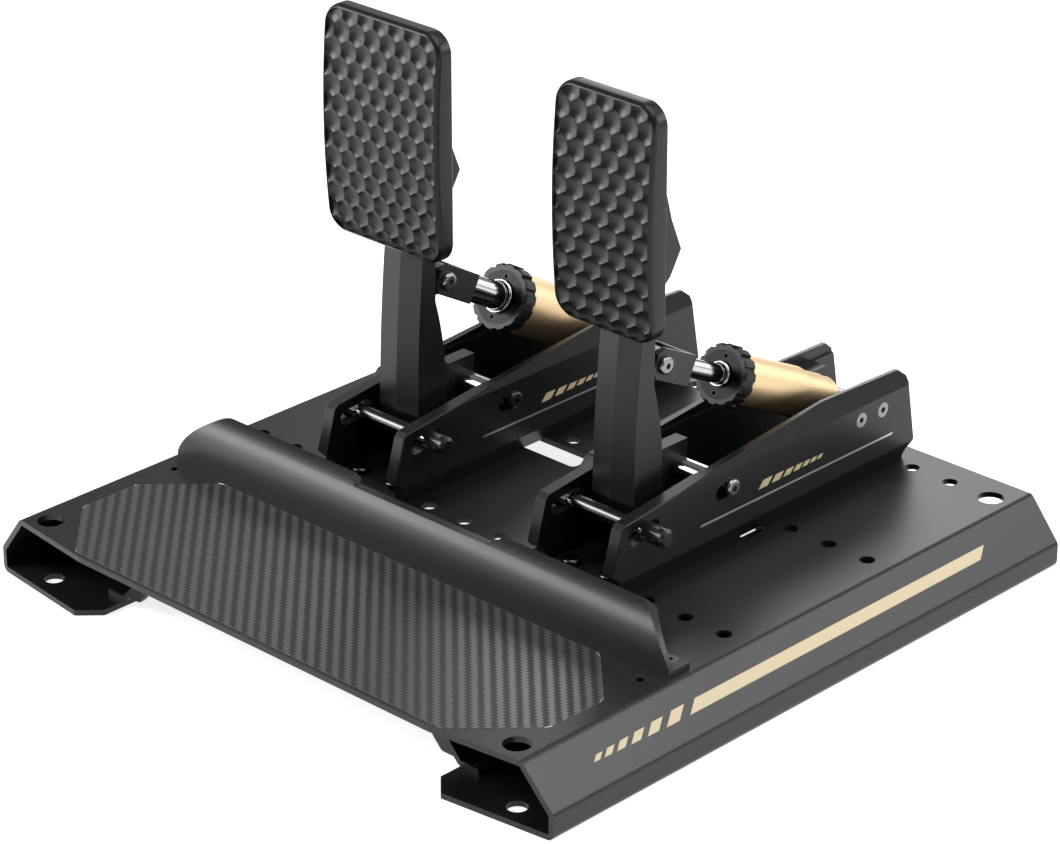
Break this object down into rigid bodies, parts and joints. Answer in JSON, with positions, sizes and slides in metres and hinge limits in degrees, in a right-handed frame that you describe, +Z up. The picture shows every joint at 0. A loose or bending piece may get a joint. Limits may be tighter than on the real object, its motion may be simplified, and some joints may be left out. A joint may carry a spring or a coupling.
{
  "type": "sim racing pedal set",
  "caption": "Two-pedal set for a driving simulator: hinged throttle and brake arms with patterned pads and inclined damper cylinders on a folded steel base.",
  "frame": {"origin": "centre of the underside of the base", "axes": "+X to the driver's right, +Y away from the driver, +Z up"},
  "size_m": [0.3892, 0.385, 0.2875],
  "materials": {
    "powder_black": "fine-grained black powder coat",
    "anodised_black": "satin black anodised",
    "heel_film": "black twill-weave film under clear satin",
    "pad_black": "satin black anodised, hollowed grip face",
    "screw_steel": "bright steel",
    "screw_black": "black oxide steel",
    "dark_chrome": "bright black chrome",
    "polished_steel": "polished hard chrome",
    "gold_anodised": "satin gold anodised",
    "ring_black": "black anodised",
    "gland_grey": "dark grey anodised, turned",
    "eye_grey": "bead-blasted steel",
    "bronze": "sintered bronze",
    "rubber_black": "matt black rubber",
    "spring_steel": "oiled spring steel",
    "housing_black": "fine-textured black nylon"
  },
  "bodies": {
    "base": {"base_plate": "powder_black", "rail_left": "powder_black", "rail_right": "powder_black", "heel_panel": "heel_film", "heel_stop": "powder_black", "heel_stop_screws": "screw_black", "unit_bolts": "dark_chrome", "bracket_screws": "screw_steel", "pivot_shafts": "polished_steel", "tail_pins": "polished_steel", "throttle_floor_plate": "powder_black", "throttle_side_left": "anodised_black", "throttle_side_right": "anodised_black", "throttle_rear_rod": "polished_steel", "throttle_rear_rod_screws": "screw_steel", "throttle_stop_block": "housing_black", "throttle_tail_brackets": "anodised_black", "throttle_sensor_housing": "housing_black", "brake_floor_plate": "powder_black", "brake_side_left": "anodised_black", "brake_side_right": "anodised_black", "brake_rear_rod": "polished_steel", "brake_rear_rod_screws": "screw_black", "brake_stop_block": "housing_black", "brake_tail_brackets": "anodised_black", "brake_sensor_housing": "housing_black"},
    "throttle_pedal": {"throttle_arm": "anodised_black", "throttle_bushes": "bronze", "throttle_pad_bracket": "powder_black", "throttle_pad": "pad_black", "throttle_pad_screws": "screw_black"},
    "throttle_cylinder": {"throttle_barrel": "gold_anodised", "throttle_gland": "gland_grey", "throttle_tail_eye": "eye_grey", "throttle_spring": "spring_steel"},
    "throttle_rod": {"throttle_damper_rod": "polished_steel", "throttle_clevis": "powder_black", "throttle_clevis_bolt": "screw_steel"},
    "throttle_ring": {"throttle_adjuster_ring": "ring_black"},
    "throttle_stop": {"throttle_stop_rod": "polished_steel", "throttle_stop_sleeve": "dark_chrome"},
    "throttle_nut_left": {"throttle_thumb_nut_left": "screw_black"},
    "throttle_nut_right": {"throttle_thumb_nut_right": "screw_black"},
    "brake_pedal": {"brake_arm": "anodised_black", "brake_bushes": "bronze", "brake_pad_bracket": "powder_black", "brake_pad": "pad_black", "brake_pad_screws": "screw_black"},
    "brake_cylinder": {"brake_barrel": "gold_anodised", "brake_gland": "gland_grey", "brake_tail_eye": "eye_grey", "brake_spring": "rubber_black"},
    "brake_rod": {"brake_damper_rod": "polished_steel", "brake_clevis": "powder_black", "brake_clevis_bolt": "screw_steel"},
    "brake_ring": {"brake_adjuster_ring": "ring_black"},
    "brake_stop": {"brake_stop_rod": "polished_steel", "brake_stop_sleeve": "dark_chrome"},
    "brake_nut_left": {"brake_thumb_nut_left": "screw_black"},
    "brake_nut_right": {"brake_thumb_nut_right": "screw_black"}
  },
  "joints": [
    {"name": "throttle_press", "type": "hinge", "parent": "base", "child": "throttle_pedal", "pos_m": [0.075, 0.004, 0.054], "axis": [-1, 0, 0], "range_deg": [0, 16], "stiffness_Nm_per_rad": 15, "springref_deg": -14.32},
    {"name": "throttle_cylinder_tilt", "type": "hinge", "parent": "base", "child": "throttle_cylinder", "pos_m": [0.075, 0.15, 0.0715], "axis": [-1, 0, 0], "range_deg": [0, 2.98]},
    {"name": "throttle_rod_slide", "type": "slide", "parent": "throttle_cylinder", "child": "throttle_rod", "axis": [0, 0.8983, -0.4394], "range_m": [0, 0.02315], "deforming": ["throttle_spring"]},
    {"name": "throttle_ring_turn", "type": "hinge", "parent": "throttle_cylinder", "child": "throttle_ring", "pos_m": [0.075, 0.0073, 0.1413], "axis": [0, 0.8983, -0.4394], "continuous": true},
    {"name": "throttle_stop_slide", "type": "slide", "parent": "base", "child": "throttle_stop", "axis": [0, -0.9945, -0.1045], "range_m": [0, 0.0094]},
    {"name": "throttle_nut_left_turn", "type": "hinge", "parent": "throttle_stop", "child": "throttle_nut_left", "pos_m": [0.075, -0.0225, 0.0676], "axis": [1, 0, 0], "continuous": true},
    {"name": "throttle_nut_right_turn", "type": "hinge", "parent": "throttle_stop", "child": "throttle_nut_right", "pos_m": [0.075, -0.0225, 0.0676], "axis": [1, 0, 0], "continuous": true},
    {"name": "brake_press", "type": "hinge", "parent": "base", "child": "brake_pedal", "pos_m": [-0.075, 0.004, 0.054], "axis": [-1, 0, 0], "range_deg": [0, 8], "stiffness_Nm_per_rad": 90, "springref_deg": -2.86},
    {"name": "brake_cylinder_tilt", "type": "hinge", "parent": "base", "child": "brake_cylinder", "pos_m": [-0.075, 0.1345, 0.0705], "axis": [-1, 0, 0], "range_deg": [0, 2.02]},
    {"name": "brake_rod_slide", "type": "slide", "parent": "brake_cylinder", "child": "brake_rod", "axis": [0, 0.8727, -0.4883], "range_m": [0, 0.01115], "deforming": ["brake_spring"]},
    {"name": "brake_ring_turn", "type": "hinge", "parent": "brake_cylinder", "child": "brake_ring", "pos_m": [-0.075, 0.0085, 0.141], "axis": [0, 0.8727, -0.4883], "continuous": true},
    {"name": "brake_stop_slide", "type": "slide", "parent": "base", "child": "brake_stop", "axis": [0, -0.9945, -0.1045], "range_m": [0, 0.0094]},
    {"name": "brake_nut_left_turn", "type": "hinge", "parent": "brake_stop", "child": "brake_nut_left", "pos_m": [-0.075, -0.0225, 0.0676], "axis": [1, 0, 0], "continuous": true},
    {"name": "brake_nut_right_turn", "type": "hinge", "parent": "brake_stop", "child": "brake_nut_right", "pos_m": [-0.075, -0.0225, 0.0676], "axis": [1, 0, 0], "continuous": true}
  ],
  "couplings": [
    {"joint": "throttle_cylinder_tilt", "follows": "throttle_press", "ratio": 0.1857},
    {"joint": "throttle_rod_slide", "follows": "throttle_press", "m_per_rad": 0.08283},
    {"joint": "brake_cylinder_tilt", "follows": "brake_press", "ratio": 0.2514},
    {"joint": "brake_rod_slide", "follows": "brake_press", "m_per_rad": 0.07975}
  ]
}
